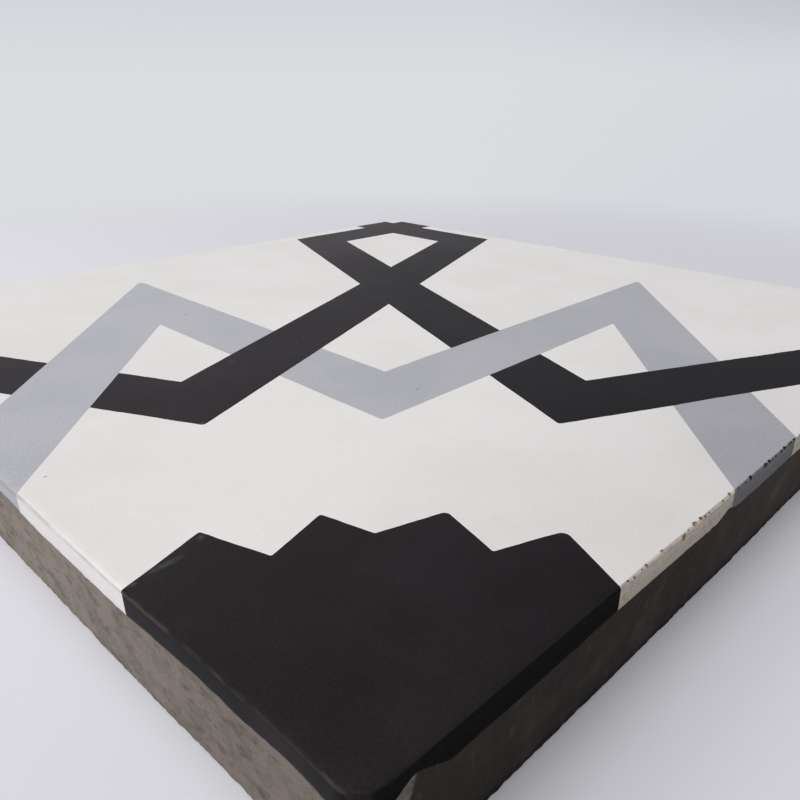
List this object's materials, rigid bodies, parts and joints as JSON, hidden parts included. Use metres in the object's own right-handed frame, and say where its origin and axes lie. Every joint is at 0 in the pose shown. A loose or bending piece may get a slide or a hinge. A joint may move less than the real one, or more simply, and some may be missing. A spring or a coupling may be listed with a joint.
{
  "type": "encaustic cement tile",
  "caption": "Square cement tile, its face inlaid with interlaced grey and black straps and a star corner in white, on a mortar backing that beds on a floor or wall.",
  "frame": {"origin": "middle of the underside, on the floor it lies on", "axes": "+Z out of the patterned face; X and Y along the edges, with the star in the corner at -X -Y"},
  "size_m": [0.2, 0.2, 0.016],
  "materials": {
    "mortar": "raw sand and cement mortar, pitted and streaked, matt",
    "white_cement": "pressed pigmented cement, smooth, matt, faintly mottled",
    "grey_cement": "pressed pigmented cement, smooth, matt, finely sandy",
    "black_cement": "pressed pigmented cement, smooth, matt, lightly scuffed"
  },
  "bodies": {
    "root": {"black_strap_left": "black_cement", "black_strap_middle": "black_cement", "black_strap_right": "black_cement", "corner_star": "black_cement", "grey_strap_left": "grey_cement", "grey_strap_middle": "grey_cement", "grey_strap_right": "grey_cement", "mortar_backing": "mortar", "white_left_1": "white_cement", "white_left_2": "white_cement", "white_left_3": "white_cement", "white_middle_1": "white_cement", "white_middle_2": "white_cement", "white_middle_3": "white_cement", "white_middle_4": "white_cement", "white_right_1": "white_cement", "white_right_2": "white_cement", "white_right_3": "white_cement"}
  },
  "joints": []
}
